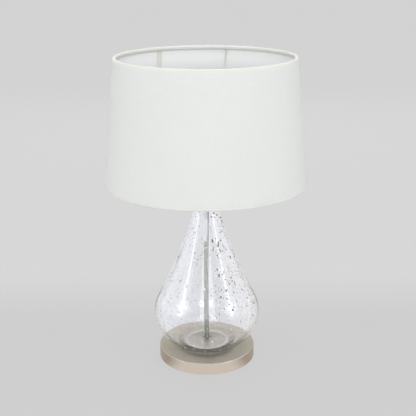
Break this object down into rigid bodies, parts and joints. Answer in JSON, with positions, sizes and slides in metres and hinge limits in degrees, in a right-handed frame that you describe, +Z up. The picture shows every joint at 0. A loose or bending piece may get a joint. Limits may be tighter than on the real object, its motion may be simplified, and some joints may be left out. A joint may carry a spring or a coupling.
{
  "type": "table lamp",
  "caption": "Table lamp: blown clear-glass teardrop on a weighted satin metal disc, hollow stem, switched lampholder and tapered drum shade.",
  "frame": {"origin": "on the lamp's axis at the underside of the foot pad", "axes": "+Z up along the stem, -Y the front seen in the picture, +Y the back where the cord bushing is"},
  "size_m": [0.3994, 0.3995, 0.62],
  "materials": {
    "pad_foam": "soft foam",
    "satin_nickel": "satin nickel plate",
    "cast_weight": "raw casting",
    "clear_rubber": "translucent soft",
    "stem_nickel": "satin plated tube",
    "zinc_fastener": "bright zinc",
    "seeded_glass": "clear with seeds",
    "seat_rubber": "matte",
    "holder_plastic": "moulded",
    "contact_brass": "plain brass",
    "socket_brass": "plated brass sheet",
    "switch_plastic": "polished",
    "solder": "solder",
    "bulb_black_glass": "fused black glass",
    "bulb_cap_metal": "bright",
    "opal_glass": "white diffusing",
    "ring_plastic": "moulded",
    "white_wire": "white powder coat",
    "linen": "fine off-white weave",
    "liner_sheet": "smooth white sheet",
    "seam_tape": "lapped sheet edge"
  },
  "bodies": {
    "lamp": {"foot_pad": "pad_foam", "base_cover": "satin_nickel", "base_weight": "cast_weight", "cord_bushing": "clear_rubber", "stem_tube": "stem_nickel", "stem_washer": "zinc_fastener", "lock_washer": "zinc_fastener", "stem_nut": "zinc_fastener", "glass_body": "seeded_glass", "glass_seat": "seat_rubber", "stem_grommet": "clear_rubber", "neck_gasket": "seat_rubber", "neck_cap": "satin_nickel", "neck_nut": "satin_nickel", "holder_cap": "satin_nickel", "grub_screw": "zinc_fastener", "holder_shell": "satin_nickel", "holder_core": "holder_plastic", "terminal_screws": "contact_brass", "screw_shell": "socket_brass", "centre_contact": "contact_brass"},
    "switch": {"switch_bar": "switch_plastic"},
    "bulb": {"bulb_contact": "solder", "bulb_insulator": "bulb_black_glass", "bulb_cap": "bulb_cap_metal", "bulb_glass": "opal_glass"},
    "clamp_ring": {"shade_ring": "ring_plastic"},
    "shade": {"fitter_ring": "white_wire", "shade_fabric": "linen", "shade_liner": "liner_sheet", "top_ring": "white_wire", "bottom_ring": "white_wire", "lap_seam": "seam_tape", "shade_arm_1": "white_wire", "shade_arm_2": "white_wire", "shade_arm_3": "white_wire"}
  },
  "joints": [
    {"name": "switch_push", "type": "slide", "parent": "lamp", "child": "switch", "axis": [1, 0, 0], "range_m": [0, 0.007]},
    {"name": "bulb_lift", "type": "slide", "parent": "lamp", "child": "bulb", "axis": [0, 0, 1], "range_m": [0, 0.235]},
    {"name": "clamp_ring_turn", "type": "hinge", "parent": "lamp", "child": "clamp_ring", "pos_m": [0, 0, 0.398], "axis": [0, 0, 1], "continuous": true},
    {"name": "shade_turn", "type": "hinge", "parent": "lamp", "child": "shade", "pos_m": [0, 0, 0.3936], "axis": [0, 0, 1], "continuous": true}
  ]
}
